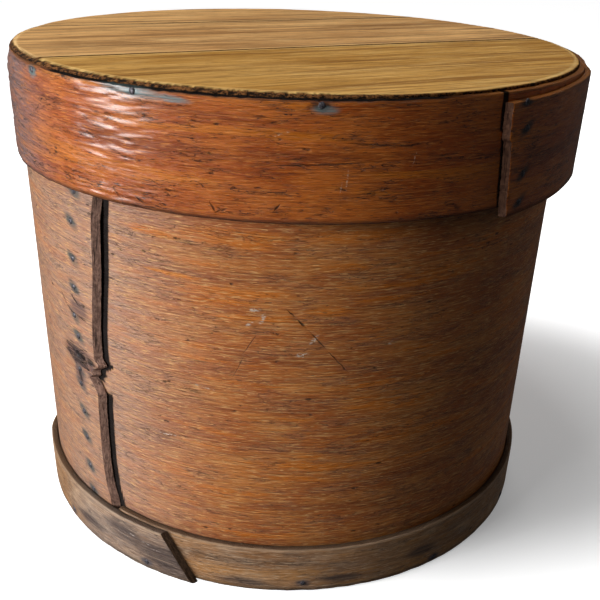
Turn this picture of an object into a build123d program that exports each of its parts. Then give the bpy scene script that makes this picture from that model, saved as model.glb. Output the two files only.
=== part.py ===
from build123d import *
import math
import os

# A round bentwood box with a lift-off lid. Millimetres, +Z up.
# The origin is on the axis, on the face that the box stands on.
# Angles are in degrees about the axis: 0 is the front (-Y) and they grow towards +X (90).
# Each band is one thin strip of wood, bent round and lapped over its own thinned start.

os.makedirs("parts", exist_ok=True)

# Clearances, and the one overrun of every cutting tool
lap_gap = 0.2
fit_gap = 0.15
driven_gap = 0.05
lid_slack = 0.6
cut_over = 8.0

# Side band: the strip that makes the wall
side_radius = 177.0
side_thick = 4.6
side_height = 316.0
side_lap = 144.5
side_feather = 34.0
side_end_angle = -36.4
side_end_bevel = 3.5

# Base hoop: the strip round the foot, which starts against the side band's lap
hoop_thick = 4.7
hoop_height = 36.3
hoop_butt_gap = 1.2
hoop_end_angle = -17.6
hoop_end_slant = 22.0
hoop_end_bevel = 2.5
hoop_foot_worn = 2.4
hoop_top_worn = 0.9

# Boards of the bottom and of the lid, and the line of their grain in plan
base_thick = 12.7
lid_board_thick = 9.6
board_gap = 0.8
board_round = 0.9
grain_angle = 26.0

# Lid band: the strip round the lid, lapped the other way round
lid_band_thick = 4.2
lid_band_height = 64.5
lid_proud = 2.0
lid_lap = 128.0
lid_feather = 33.0
lid_end_angle = 35.4
lid_end_drop = 5.0
lid_end_bevel = 2.2

# Cut tacks, clinched on the inside, and the longer nails that hold the boards
tack_head_radius = 2.0
tack_head_thick = 0.7
head_sides = 9
tack_shank = 1.5
tack_clinch = 3.5
nail_head_radius = 1.9
nail_shank = 1.9
nail_point = 0.6
nail_length = 25.0
sink_depth = 0.1

# Each strip's climb over its thinned start: the share that lies ahead of the start's tip
ramp_lead_share = 0.25
ramp_shares = (0.0, 0.15, 0.3, 0.45, 0.6, 0.75, 0.9, 1.0)

# Outline of each outer end: height share up the strip, share of the lap by which it is cut back
side_end_shares = (
    (0.0, 0.034), (0.12, 0.047), (0.16, 0.072), (0.225, 0.085), (0.30, 0.084),
    (0.361, 0.079), (0.386, 0.072), (0.40, 0.090), (0.414, 0.119), (0.421, 0.131),
    (0.427, 0.097), (0.437, 0.113), (0.445, 0.086), (0.457, 0.046), (0.466, 0.078),
    (0.50, 0.079), (0.535, 0.075), (0.604, 0.055), (0.646, 0.040), (0.709, 0.028),
    (0.762, 0.017), (0.81, 0.0), (1.0, 0.0),
)
lid_end_shares = (
    (0.0, 0.055), (0.15, 0.043), (0.42, 0.034), (0.63, 0.023), (0.665, 0.022),
    (0.69, 0.007), (0.85, 0.002), (1.0, 0.0),
)

# Tacks of each lap: height share up the strip, share of the lap back from its outer end
side_tack_shares = (
    (0.058, 0.210), (0.120, 0.220), (0.182, 0.232), (0.255, 0.235), (0.321, 0.237),
    (0.388, 0.239), (0.423, 0.235), (0.455, 0.239), (0.502, 0.221), (0.546, 0.239),
    (0.610, 0.222), (0.671, 0.207), (0.749, 0.192), (0.812, 0.147), (0.880, 0.140),
    (0.946, 0.135),
)
lid_tack_shares = ((0.119, 0.152), (0.372, 0.151), (0.767, 0.133))

# Nails: angle about the axis, height share of the board that they enter
lid_nail_shares = (
    (-50.9, 0.50), (-25.7, 0.52), (3.9, 0.48), (39.4, 0.20), (70.0, 0.45), (99.0, 0.50),
    (133.0, 0.52), (166.0, 0.48), (198.0, 0.50), (229.0, 0.47), (256.0, 0.52), (283.0, 0.50),
)
base_nail_shares = (
    (-54.0, 0.50), (-29.0, 0.52), (4.3, 0.62), (34.4, 0.40), (64.0, 0.50), (95.0, 0.55),
    (126.0, 0.45), (162.0, 0.50), (193.0, 0.52), (224.0, 0.48), (250.0, 0.53),
)

# Widths of the three boards, front to back, as shares of the disc's diameter
lid_board_shares = (0.410, 0.355, 0.235)
base_board_shares = (0.300, 0.380, 0.320)
board_names = ("front", "middle", "back")

# Radii and levels that follow from the sizes above
side_step = side_thick + lap_gap
side_lap_out = side_radius + side_thick + side_step
hoop_radius = side_radius + side_thick + fit_gap
lid_radius = side_lap_out + lid_slack
lid_step = lid_band_thick + lap_gap
lid_top = side_height + lid_board_thick
lid_band_foot = lid_top - lid_proud - lid_band_height
half_turn, whole_turn = 180, 360


def polar(radius, angle):
    """The point at a radius and an angle, in plan."""
    turn = math.radians(angle)
    return (radius * math.sin(turn), -radius * math.cos(turn))


def degrees_of(length, radius):
    return math.degrees(length / radius)


def arc(radius, start, end):
    return CenterArc((0, 0), radius, start - half_turn / 2, end - start)


def ease(share):
    """A smooth climb from 0 to 1."""
    share = min(max(share, 0), 1)
    return share * share * (3 - 2 * share)


def climb(radius, rise, start, end, shares):
    """The S-shaped line on which a strip climbs over what lies under it."""
    span = end - start
    return Spline(*[polar(radius + rise * ease(s), start + span * s) for s in shares])


def outward(radius, angle, height):
    """A frame on a band: X runs along the band, Y up and Z out of it."""
    x, y = polar(radius, angle)
    turn = math.radians(angle)
    along = (math.cos(turn), math.sin(turn), 0)
    out = (math.sin(turn), -math.cos(turn), 0)
    return Plane(origin=(x, y, height), x_dir=along, z_dir=out)


class Strip:
    """One strip wound once round the axis, which climbs over its own start and ends on it."""

    def __init__(self, radius, thick, rise, first, ramp_start, ramp_end, end, thinned):
        self.radius, self.thick, self.rise = radius, thick, rise
        self.first, self.ramp_start, self.ramp_end = first, ramp_start, ramp_end
        self.end, self.thinned = end, thinned
        self.last = end + whole_turn + degrees_of(cut_over, radius)

    def outside(self, angle):
        """Radius of the outermost surface at an angle."""
        reached = self.last - (self.last - angle) % whole_turn
        share = (reached - self.ramp_start) / (self.ramp_end - self.ramp_start)
        return self.radius + self.thick + self.rise * ease(share)

    def face(self):
        """The strip seen in plan, a little longer than its finished end."""
        radius, out, rise = self.radius, self.radius + self.thick, self.rise
        start, end, last = self.ramp_start, self.ramp_end, self.last
        edges = [
            climb(out, rise, start, end, ramp_shares),
            arc(out + rise, end, last),
            Line(polar(out + rise, last), polar(radius + rise, last)),
            arc(radius + rise, end, last),
            climb(radius, rise, start, end, ramp_shares),
            arc(radius, self.first, start),
        ]
        tip_radius, outer_from = out, self.first
        if self.thinned:
            lead, under = ramp_lead_share, out - rise
            tip_shares = [lead + (1 - lead) * share for share in ramp_shares]
            tip_radius, outer_from = under + rise * ease(lead), end - whole_turn
            edges.append(climb(under, rise, start - whole_turn, outer_from, tip_shares))
        edges.append(arc(out, outer_from, start))
        edges.append(Line(polar(radius, self.first), polar(tip_radius, self.first)))
        return make_face(edges)

    def lap_region(self, low, high):
        """The space of the outer layer alone, from the foot of its climb to past its end."""
        start, end = self.ramp_start, self.ramp_end
        last = self.last + degrees_of(2 * cut_over, self.radius)
        near, far = self.radius - lap_gap / 2, self.radius + self.rise + self.thick + cut_over
        edges = [
            climb(near, self.rise, start, end, ramp_shares),
            arc(near + self.rise, end, last),
            Line(polar(near + self.rise, last), polar(far, last)),
            arc(far, start, last),
            Line(polar(far, start), polar(near, start)),
        ]
        return extrude(Plane((0, 0, low)) * make_face(edges), high - low)

    def end_cutter(self, outline, bevel):
        """What trims the outer end to an outline of (height, cut-back) points, with a bevel."""
        low, high = outline[0][0] - cut_over, outline[-1][0] + cut_over
        line = [(low, outline[0][1]), *outline, (high, outline[-1][1])]
        deep = self.radius + self.rise
        faces = []
        for depth in (-cut_over, self.thick + cut_over):
            slip = bevel * depth / self.thick
            points = [(-back - slip, up) for up, back in line]
            points += [(3 * cut_over, high), (3 * cut_over, low)]
            flat = make_face(Polyline(*points, close=True))
            faces.append(outward(deep + depth, self.end, 0) * flat)
        return loft(faces, ruled=True) & self.lap_region(low, high)


def thinned_strip(radius, thick, end, lap, feather):
    """A strip whose start is thinned to an edge, so that its lap climbs without a bump."""
    climb_span = degrees_of(feather, radius)
    tip = end + whole_turn - degrees_of(lap, radius)
    ramp_start = tip - climb_span * ramp_lead_share
    ramp_end = ramp_start + climb_span
    return Strip(radius, thick, thick + lap_gap, tip - whole_turn, ramp_start, ramp_end, end, True)


def outline_of(shares, height, lap, foot=0):
    return [(foot + up * height, back * lap) for up, back in shares]


def tack_places(shares, strip, height, lap, foot=0, turned=1):
    """The frames of a lap's tacks, on its outer surface."""
    radius = strip.radius + strip.rise + strip.thick
    places = []
    for up, back in shares:
        angle = strip.end - degrees_of(back * lap, radius)
        places.append(outward(radius, turned * angle, foot + up * height))
    return places


def hammered_head(radius, low, high):
    """The uneven round head of a cut tack or nail, or its recess."""
    return extrude(Plane((0, 0, low)) * RegularPolygon(radius, head_sides), high - low)


def cut_tack(wall):
    """A tack driven through a wall and clinched upwards on its inside, with a sunk head."""
    under = sink_depth + tack_head_thick
    half, inside = tack_shank / 2, wall + driven_gap
    side_view = [
        (-half, -under), (-half, -inside - half), (0, -inside - tack_shank),
        (tack_clinch, -inside - half), (tack_clinch, -inside), (half, -inside), (half, -under),
    ]
    shank = extrude(Plane.YZ * make_face(Polyline(*side_view, close=True)), half, both=True)
    return shank + hammered_head(tack_head_radius, -under, -sink_depth)


def tack_hole(wall):
    """The hole of a tack through a wall, with the recess of its head."""
    side_length = tack_shank + 2 * driven_gap
    deep = sink_depth + tack_head_thick + driven_gap
    recess = hammered_head(tack_head_radius + 2 * driven_gap, -deep, cut_over)
    through = extrude(Rectangle(side_length, side_length), -wall - cut_over / 2)
    return recess + through


def nail(room=0):
    """A cut nail that points inwards under a sunk head, or its hole if it is given room."""
    under = sink_depth + tack_head_thick + room
    top = cut_over if room else -sink_depth
    head = hammered_head(nail_head_radius + 2 * room, -under, top)
    wide, fine = nail_shank + 2 * room, nail_point + 2 * room
    ends = [
        Plane((0, 0, -under)) * Rectangle(wide, wide),
        Plane((0, 0, -nail_length - room)) * Rectangle(fine, fine),
    ]
    return head + loft(ends, ruled=True)


def boards(radius, thick, foot, widths):
    """A disc of three boards with open seams between them, front to back."""
    cuts = [-2 * radius]
    edge = -radius
    for width in widths[:-1]:
        edge += width * 2 * radius
        cuts.append(edge)
    cuts.append(2 * radius)
    made = []
    for low, high in zip(cuts, cuts[1:]):
        wide = high - low - board_gap
        plank = Rot(0, 0, grain_angle) * Pos(0, (low + high) / 2) * Rectangle(4 * radius, wide)
        made.append(extrude(Plane((0, 0, foot)) * (Circle(radius) & plank), thick))
    return made


def save(name, solids):
    shape = solids[0] if len(solids) == 1 else Compound(children=list(solids))
    shape.label = name
    export_step(shape, f"parts/{name}.step")


# The three strips; the lid's is worked out the same way round and mirrored at the end
side = thinned_strip(side_radius, side_thick, side_end_angle, side_lap, side_feather)
lid = thinned_strip(lid_radius, lid_band_thick, -lid_end_angle, lid_lap, lid_feather)
side_foot_cut = side_end_shares[0][1] * side_lap - hoop_butt_gap
hoop = Strip(
    hoop_radius, hoop_thick, max(side_step, hoop_thick + lap_gap),
    side_end_angle - degrees_of(side_foot_cut, side_radius + side_step),
    side.ramp_start, side.ramp_end, hoop_end_angle, False,
)

# Tacks and nails, and the holes that they sit in
side_wall, lid_wall = side_thick + side_step, lid_band_thick + lid_step
side_tack_frames = tack_places(side_tack_shares, side, side_height, side_lap)
lid_tack_frames = tack_places(
    lid_tack_shares, lid, lid_band_height, lid_lap, lid_band_foot - lid_end_drop, -1
)
base_nail_frames = [
    outward(hoop.outside(angle), angle, up * base_thick) for angle, up in base_nail_shares
]
lid_nail_frames = [
    outward(lid.outside(-angle), angle, side_height + up * lid_board_thick)
    for angle, up in lid_nail_shares
]
base_nail_holes = [frame * nail(driven_gap) for frame in base_nail_frames]
lid_nail_holes = [frame * nail(driven_gap) for frame in lid_nail_frames]

# Side band
side_band = extrude(side.face(), side_height)
side_band -= side.end_cutter(outline_of(side_end_shares, side_height, side_lap), side_end_bevel)
side_band -= [frame * tack_hole(side_wall) for frame in side_tack_frames] + base_nail_holes

# Base hoop, with its foot and its top edge worn away and its end cut on a slant
base_hoop = extrude(hoop.face(), hoop_height)
for rim, worn in ((-1, hoop_top_worn), (0, hoop_foot_worn)):
    outer_edges = []
    for edge in base_hoop.faces().sort_by(Axis.Z)[rim].edges():
        middle = edge @ 0.5
        angle = math.degrees(math.atan2(middle.X, -middle.Y))
        if math.hypot(middle.X, middle.Y) > hoop.outside(angle) - hoop_thick / 2:
            outer_edges.append(edge)
    base_hoop = chamfer(outer_edges, worn)
base_hoop -= hoop.end_cutter([(0, 0), (hoop_height, hoop_end_slant)], hoop_end_bevel)
base_hoop -= base_nail_holes

# Lid band: the whole strip, whose lap runs downhill to its end
lid_blank = extrude(Plane((0, 0, -lid_band_height)) * lid.face(), 3 * lid_band_height)
lap_space = lid.lap_region(-lid_band_height, 2 * lid_band_height)
level = extrude(Circle(2 * lid_radius), lid_band_height)
lap_run = lid_radius * math.sin(math.radians(lid.end + whole_turn - lid.ramp_start))
reach = 2 * lid_radius
fall = reach * lid_end_drop / lap_run
downhill = [
    (-reach, fall), (reach, -fall), (reach, lid_band_height - fall), (-reach, lid_band_height + fall)
]
slab = outward(0, lid.ramp_start, 0) * make_face(Polyline(*downhill, close=True))
lid_band = (lid_blank - lap_space) & level
lid_band += lid_blank & lap_space & extrude(slab, 2 * reach)
lid_outline = outline_of(lid_end_shares, lid_band_height, lid_lap, -lid_end_drop)
lid_band -= lid.end_cutter(lid_outline, lid_end_bevel)
lid_band = mirror(Pos(0, 0, lid_band_foot) * lid_band, Plane.YZ)
lid_band -= [frame * tack_hole(lid_wall) for frame in lid_tack_frames] + lid_nail_holes

# Boards
base_boards = boards(side_radius - fit_gap, base_thick, 0, base_board_shares)
lid_boards = boards(lid_radius - fit_gap, lid_board_thick, side_height, lid_board_shares)
base_boards = [board - base_nail_holes for board in base_boards]
lid_boards = [
    chamfer(board.faces().sort_by(Axis.Z)[-1].edges(), board_round) - lid_nail_holes
    for board in lid_boards
]

save("side_band", [side_band])
save("base_hoop", [base_hoop])
save("lid_band", [lid_band])
for name, base_board, lid_board in zip(board_names, base_boards, lid_boards):
    save(f"bottom_board_{name}", [base_board])
    save(f"lid_board_{name}", [lid_board])
save("side_seam_tacks", [frame * cut_tack(side_wall) for frame in side_tack_frames])
save("lid_seam_tacks", [frame * cut_tack(lid_wall) for frame in lid_tack_frames])
save("bottom_nails", [frame * nail() for frame in base_nail_frames])
save("lid_rim_nails", [frame * nail() for frame in lid_nail_frames])
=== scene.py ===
import math

import bpy
import numpy as np
from mathutils import Matrix, Vector


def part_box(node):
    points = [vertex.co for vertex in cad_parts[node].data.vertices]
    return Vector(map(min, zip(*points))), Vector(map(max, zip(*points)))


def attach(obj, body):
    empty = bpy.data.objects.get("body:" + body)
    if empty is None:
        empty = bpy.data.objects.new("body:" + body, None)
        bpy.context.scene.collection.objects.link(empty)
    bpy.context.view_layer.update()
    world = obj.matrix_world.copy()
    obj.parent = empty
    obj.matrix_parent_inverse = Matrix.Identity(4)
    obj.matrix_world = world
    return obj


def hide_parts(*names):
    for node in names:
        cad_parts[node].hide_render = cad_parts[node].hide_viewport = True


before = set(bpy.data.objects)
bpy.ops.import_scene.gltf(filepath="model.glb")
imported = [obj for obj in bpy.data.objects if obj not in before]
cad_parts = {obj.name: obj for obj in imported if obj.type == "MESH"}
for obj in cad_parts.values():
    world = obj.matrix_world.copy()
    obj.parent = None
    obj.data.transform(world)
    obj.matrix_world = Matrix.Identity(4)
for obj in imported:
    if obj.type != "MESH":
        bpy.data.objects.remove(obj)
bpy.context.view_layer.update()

# A round bentwood box with a lift-off lid. Metres, +Z up, angles in degrees about the axis:
# 0 is the front (-Y) and they grow towards +X (90).

# Levels read from the frame
SIDE_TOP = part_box("side_band")[1][2]
HOOP_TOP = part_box("base_hoop")[1][2]
LID_BAND_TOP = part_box("lid_band")[1][2]
LID_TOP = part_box("lid_board_front")[1][2]
BASE_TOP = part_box("bottom_board_middle")[1][2]

# Sizes of the three strips
LAP_GAP, FIT_GAP, BOARD_GAP = 0.0002, 0.00015, 0.0008
SIDE_RADIUS, SIDE_THICK, SIDE_LAP, SIDE_FEATHER, SIDE_END = 0.177, 0.0046, 0.1445, 0.034, -36.4
LID_RADIUS, LID_THICK, LID_LAP, LID_FEATHER, LID_END = 0.187, 0.0042, 0.128, 0.033, 35.4
LID_HEIGHT, LID_DROP = 0.0645, 0.005
HOOP_RADIUS, HOOP_THICK, HOOP_START, HOOP_END, HOOP_SLANT = 0.18175, 0.0047, -37.57, -17.6, 0.022
SIDE_BEVEL, LID_BEVEL, HOOP_BEVEL = 0.0035, 0.0022, 0.0025
RAMP_LEAD = 0.25
BOARD_ROUND = 0.0009
TACK_HEAD, TACK_SHANK, TACK_CLINCH = 0.002, 0.0015, 0.0035
NAIL_HEAD, NAIL_SHANK, NAIL_LENGTH = 0.0019, 0.0019, 0.025
GRAIN_ANGLE = 26.0
LID_FOOT = LID_BAND_TOP - LID_HEIGHT

# Widths of the boards, front to back, as shares of the disc's diameter
LID_BOARDS = (0.41, 0.355, 0.235)
BASE_BOARDS = (0.3, 0.38, 0.32)

# Outlines of the outer ends: height share, share of the lap by which the end is cut back
SIDE_END_SHARES = (
    (0.0, 0.034), (0.12, 0.047), (0.16, 0.072), (0.225, 0.085), (0.3, 0.084), (0.361, 0.079),
    (0.386, 0.072), (0.4, 0.09), (0.414, 0.119), (0.421, 0.131), (0.427, 0.097), (0.437, 0.113),
    (0.445, 0.086), (0.457, 0.046), (0.466, 0.078), (0.5, 0.079), (0.535, 0.075), (0.604, 0.055),
    (0.646, 0.04), (0.709, 0.028), (0.762, 0.017), (0.81, 0.0), (1.0, 0.0),
)
LID_END_SHARES = (
    (0.0, 0.055), (0.15, 0.043), (0.42, 0.034), (0.63, 0.023), (0.665, 0.022), (0.69, 0.007),
    (0.85, 0.002), (1.0, 0.0),
)
HOOP_END_SHARES = ((0.0, 0.0), (1.0, 1.0))

# Tacks: height share up the strip, share of the lap back from its outer end
SIDE_TACK_SHARES = (
    (0.058, 0.21), (0.12, 0.22), (0.182, 0.232), (0.255, 0.235), (0.321, 0.237), (0.388, 0.239),
    (0.423, 0.235), (0.455, 0.239), (0.502, 0.221), (0.546, 0.239), (0.61, 0.222), (0.671, 0.207),
    (0.749, 0.192), (0.812, 0.147), (0.88, 0.14), (0.946, 0.135),
)
LID_TACK_SHARES = ((0.119, 0.152), (0.372, 0.151), (0.767, 0.133))

# Nails: angle about the axis, height share of the board that they enter
LID_NAIL_SHARES = (
    (-50.9, 0.5), (-25.7, 0.52), (3.9, 0.48), (39.4, 0.2), (70.0, 0.45), (99.0, 0.5), (133.0, 0.52),
    (166.0, 0.48), (198.0, 0.5), (229.0, 0.47), (256.0, 0.52), (283.0, 0.5),
)
BASE_NAIL_SHARES = (
    (-54.0, 0.5), (-29.0, 0.52), (4.3, 0.62), (34.4, 0.4), (64.0, 0.5), (95.0, 0.55), (126.0, 0.45),
    (162.0, 0.5), (193.0, 0.52), (224.0, 0.48), (250.0, 0.53),
)

FULL, MM = 360.0, 0.001

# Spacing of the points on the strips and round the boards, the strips' finer spacing, and the
# last stretch of a strip that has it
PITCH, BOARD_PITCH, FINE_PITCH, FINE_REACH = 0.0034, 0.0022, 0.0014, 0.058
# The stretch beyond the side band's tacks that has sprung off the layer under it: its length,
# how far its edge stands off, and the heights between which it does
FREE_LENGTH, SPRING = 0.026, (0.0015, 0.042, 0.256)
# Heights of the notch in the side band's end
NOTCH_FOOT, NOTCH_TOP = 0.1225, 0.1305
# Depths: the lid band's ripples, its worn shoulder and the crumbs of its rim, the side's tear
RIPPLE_DEPTH, SHOULDER_DEPTH, CRUMB_DEPTH, TEAR_DEPTH = 0.00044, 0.0026, 0.0009, 0.0015
# The torn patch behind the notch: angle about the axis, height, tilt, half length, half width
TORN_ANGLE, TORN_HEIGHT, TORN_TILT, TORN_LENGTH, TORN_WIDTH = -45.0, 0.1425, -7.0, 0.015, 0.0046
# Its splinters: how many, where they root, largest length and width, and their usual tilt
SPLINTER_COUNT, SPLINTER_ANGLE, SPLINTER_HEIGHT = 60, -45.4, 0.1418
SPLINTER_LENGTH, SPLINTER_WIDTH, SPLINTER_TILT = 0.017, 0.0028, -10.0


def ease(share):
    """A smooth climb from 0 to 1."""
    share = np.clip(share, 0.0, 1.0)
    return share * share * (3.0 - 2.0 * share)


def hashed(x, y, seed):
    """A random number from 0 to 1 for each pair of whole numbers."""
    x, y = (value.astype(np.int64).astype(np.uint32) for value in (x, y))
    n = x * np.uint32(374761393) + y * np.uint32(668265263) + np.uint32(seed * 144665 + 97)
    for shift, factor in ((13, 1274126177), (16, 2246822519)):
        n = (n ^ (n >> np.uint32(shift))) * np.uint32(factor)
    return (n ^ (n >> np.uint32(15))) / float(0xFFFFFFFF)


def noise2(x, y, seed):
    """Smooth noise from -1 to 1."""
    x, y = np.broadcast_arrays(np.asarray(x, float), np.asarray(y, float))
    xi, yi = np.floor(x), np.floor(y)
    fx, fy = ease(x - xi), ease(y - yi)
    low = hashed(xi, yi, seed) * (1 - fx) + hashed(xi + 1, yi, seed) * fx
    high = hashed(xi, yi + 1, seed) * (1 - fx) + hashed(xi + 1, yi + 1, seed) * fx
    return 2 * (low * (1 - fy) + high * fy) - 1


def layered(x, y, seed, layers=3):
    """Smooth noise from -1 to 1 with finer noise on it."""
    total, weight, scale = 0.0, 0.0, 1.0
    for layer in range(layers):
        total = total + noise2(np.asarray(x) * scale, np.asarray(y) * scale, seed + layer) / scale
        weight += 1 / scale
        scale *= 2.03
    return total / weight


def swells(x, y, seed, layers=3):
    """Layered noise from 0 to 1."""
    return 0.5 + 0.5 * layered(x, y, seed, layers)


def between(value, low, climb, high, fall):
    """1 between low and high, with a soft climb after low and a soft fall before high."""
    return ease((value - low) / climb) * ease((high - value) / fall)


def degrees_of(length, radius):
    return math.degrees(length / radius)


class Strip:
    """One strip wound once round the axis, which climbs over its own start and ends on it."""

    def __init__(self, radius, thick, first, ramp_start, ramp_end, end, thinned, turned=1, drop=0.0):
        self.radius, self.thick, self.rise = radius, thick, thick + LAP_GAP
        self.first, self.ramp_start, self.ramp_end = first, ramp_start, ramp_end
        self.end, self.thinned, self.turned, self.drop = end, thinned, turned, drop

    def climb(self, angle):
        return ease((angle - self.ramp_start) / (self.ramp_end - self.ramp_start))

    def inside(self, angle):
        return self.radius + self.rise * self.climb(angle)

    def outside(self, angle):
        full = self.inside(angle) + self.thick
        if not self.thinned:
            return full
        under = self.radius + self.thick - self.rise + self.rise * self.climb(angle + FULL)
        return np.where(angle + FULL < self.ramp_end, np.minimum(under, full), full)

    def reached(self, angle):
        """The angle along the strip, in its outermost layer, at an angle about the axis."""
        last = self.end + FULL
        return last - (last - self.turned * angle) % FULL

    def outermost(self, angle):
        return float(self.inside(np.float64(self.reached(angle))) + self.thick)

    def lap_angle(self, back):
        """The angle about the axis of a place that lies back from the outer end."""
        angle = self.end - degrees_of(back, self.radius + self.rise + self.thick)
        return self.turned * angle

    def fall(self, angle):
        """How far the lap has run downhill, at an angle along the strip."""
        past = np.radians(np.clip(angle - self.ramp_start, 0, None))
        return self.drop * np.sin(past) / math.sin(math.radians(self.end + FULL - self.ramp_start))

    def along(self, angle):
        """The length along the strip, in its outermost layer, at an angle about the axis."""
        return math.radians(self.reached(angle)) * self.radius

    def spot(self, angle, up):
        """The place (along, up) at an angle about the axis and a height over the strip's foot."""
        return self.along(angle), up + float(self.fall(self.reached(angle)))


def thinned_strip(radius, thick, end, lap, feather, turned, drop=0.0):
    span = degrees_of(feather, radius)
    tip = end + FULL - degrees_of(lap, radius)
    start = tip - span * RAMP_LEAD
    return Strip(radius, thick, tip - FULL, start, start + span, end, True, turned, drop)


side = thinned_strip(SIDE_RADIUS, SIDE_THICK, SIDE_END, SIDE_LAP, SIDE_FEATHER, 1)
lid = thinned_strip(LID_RADIUS, LID_THICK, -LID_END, LID_LAP, LID_FEATHER, -1, LID_DROP)
hoop = Strip(
    HOOP_RADIUS, HOOP_THICK, HOOP_START, side.ramp_start, side.ramp_end, HOOP_END, False
)

# Places of the fastenings: angle about the axis, height
side_tacks = [(side.lap_angle(b * SIDE_LAP), up * SIDE_TOP) for up, b in SIDE_TACK_SHARES]
lid_tacks = [
    (lid.lap_angle(b * LID_LAP), LID_FOOT - LID_DROP + up * LID_HEIGHT)
    for up, b in LID_TACK_SHARES
]
base_nails = [(angle, up * BASE_TOP) for angle, up in BASE_NAIL_SHARES]
lid_nails = [(angle, SIDE_TOP + up * (LID_TOP - SIDE_TOP)) for angle, up in LID_NAIL_SHARES]


def around(radius, angle):
    """The place at a radius and an angle about the axis, in plan."""
    turn = np.radians(angle)
    return radius * np.sin(turn), -radius * np.cos(turn)


def linked(name, data):
    """A new object in the scene."""
    thing = bpy.data.objects.new(name, data)
    bpy.context.scene.collection.objects.link(thing)
    return thing


class Form:
    """Points and faces gathered into one mesh, with what each point tells the materials."""

    def __init__(self, mirrored=False):
        self.points, self.place, self.signs = [], [], []
        self.faces, self.kinds, self.flats = [], [], []
        self.count, self.mirrored = 0, mirrored

    def add(self, points, place, signs=None):
        """Adds points and returns their numbers in the same layout."""
        shape = points.shape[:-1]
        signs = np.zeros(points.shape) if signs is None else signs
        for store, values in ((self.points, points), (self.place, place), (self.signs, signs)):
            store.append(np.broadcast_to(values, points.shape).reshape(-1, 3))
        numbers = np.arange(self.count, self.count + int(np.prod(shape))).reshape(shape)
        self.count += numbers.size
        return numbers

    def close(self, faces, kind=0, flat=False):
        faces = [tuple(int(n) for n in face) for face in faces]
        self.faces += [face[::-1] for face in faces] if self.mirrored else faces
        self.kinds += [kind] * len(faces)
        self.flats += [flat] * len(faces)

    def quads(self, numbers, kind=0, flat=False, looped=False):
        """Faces between neighbouring rows and columns of points."""
        if looped:
            numbers = np.concatenate([numbers, numbers[:, :1]], 1)
        low, high = numbers[:-1], numbers[1:]
        made = np.stack([low[:, :-1], high[:, :-1], high[:, 1:], low[:, 1:]], -1)
        self.close(made.reshape(-1, 4), kind, flat)

    def fan(self, middle, ring):
        """Triangles between one point and a ring of points."""
        self.close([(middle, a, b) for a, b in zip(ring, np.roll(ring, -1))])

    def close_rings(self, points, place, signs=None):
        """A closed body of rings, with a fan at each end."""
        numbers = self.add(points, place, signs)
        self.quads(numbers, looped=True)
        ends = self.add(points[[0, -1]].mean(1), place[[0, -1]].mean(1))
        self.fan(ends[0], numbers[0])
        self.fan(ends[1], numbers[-1][::-1])

    def build(self, name, body, slot, replaced, materials):
        """Makes the object, which rides on a body and stands for a node."""
        mesh = bpy.data.meshes.new(name)
        mesh.from_pydata(np.concatenate(self.points).tolist(), [], self.faces)
        for material in materials:
            mesh.materials.append(material)
        mesh.polygons.foreach_set("use_smooth", [not flat for flat in self.flats])
        mesh.polygons.foreach_set("material_index", self.kinds)
        for key, parts in (("place", self.place), ("signs", self.signs)):
            layer = mesh.attributes.new(key, "FLOAT_VECTOR", "POINT")
            layer.data.foreach_set("vector", np.concatenate(parts).astype(np.float32).ravel())
        mesh.update()
        piece = linked(name, mesh)
        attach(piece, body)
        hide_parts(replaced)


def section(levels, height, thick, low_round, high_round, inner_round=0.0006):
    """A strip's section: up its outside, over the top and down its inside, as depth and height."""
    turn = np.radians([22.5, 45.0, 67.5, 90.0])

    def side_of(low, high):
        low_in, low_up = low / thick * (1 - np.cos(turn)), low * (1 - np.sin(turn))
        high_in, high_up = high / thick * (1 - np.cos(turn)), high * (1 - np.sin(turn))
        inset = np.concatenate([low_in[::-1], np.zeros(len(levels)), high_in])
        return inset, np.concatenate([low_up[::-1], levels, height - high_up])

    outer_in, outer_up = side_of(low_round, high_round)
    inner_in, inner_up = side_of(inner_round, inner_round)
    deep = np.concatenate([1 - outer_in, inner_in[::-1]])
    return deep, np.concatenate([outer_up, inner_up[::-1]])


def columns(strip, pitch):
    """Angles along a strip, closer together near its end and where its end lies on it."""
    fine, start = FINE_PITCH, math.radians(strip.end - strip.first) * strip.radius
    length = math.radians(strip.end + FULL - strip.first) * strip.radius
    coarse = np.arange(0, length - FINE_REACH, pitch)
    beside = np.arange(start - FREE_LENGTH, start + 0.01, fine / 2)
    coarse = coarse[(coarse < beside[0] - fine) | (coarse > beside[-1] + fine)]
    close = np.linspace(length - FINE_REACH, length, int(FINE_REACH / fine) + 1)
    places = np.sort(np.concatenate([coarse, beside[beside > fine], close]))
    return strip.first + np.degrees(places / strip.radius)


def sprung(strip, angle, up, most, low, high):
    """How far the free end, beyond its tacks, has sprung off the layer under it."""
    free = 1 - np.radians(strip.end + FULL - angle) * strip.radius / FREE_LENGTH
    return most * np.clip(free, 0, None) ** 2 * ease((up - low) / 0.02) * ease((high - up) / 0.012)


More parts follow.
